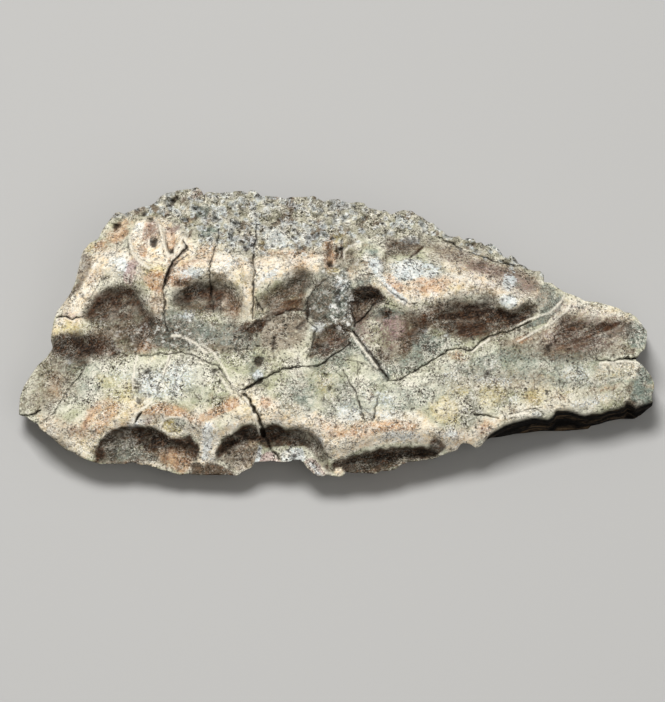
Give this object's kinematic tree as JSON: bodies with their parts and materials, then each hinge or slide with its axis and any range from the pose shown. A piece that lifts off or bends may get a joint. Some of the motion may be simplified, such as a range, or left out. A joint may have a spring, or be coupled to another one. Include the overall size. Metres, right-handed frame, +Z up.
{
  "type": "fossil amphibian scute",
  "caption": "Broken piece of fossil amphibian dermal bone with rows of pits, cracked cream ridges and a spongy broken back edge, lying on its flat inner side.",
  "frame": {"origin": "on the flat resting face of the inner side, near the middle of the piece", "axes": "+X along the length towards the narrow end, +Y towards the spongy broken back edge, +Z up from the resting face to the pitted outer face"},
  "size_m": [0.1017, 0.052, 0.0184],
  "materials": {
    "fossil_bone": "mineralised bone: dull pale greenish grey and cream, dark brown in the pits, rust along the front ridge, fine pores and cracks"
  },
  "bodies": {
    "root": {"scute": "fossil_bone"}
  },
  "joints": []
}
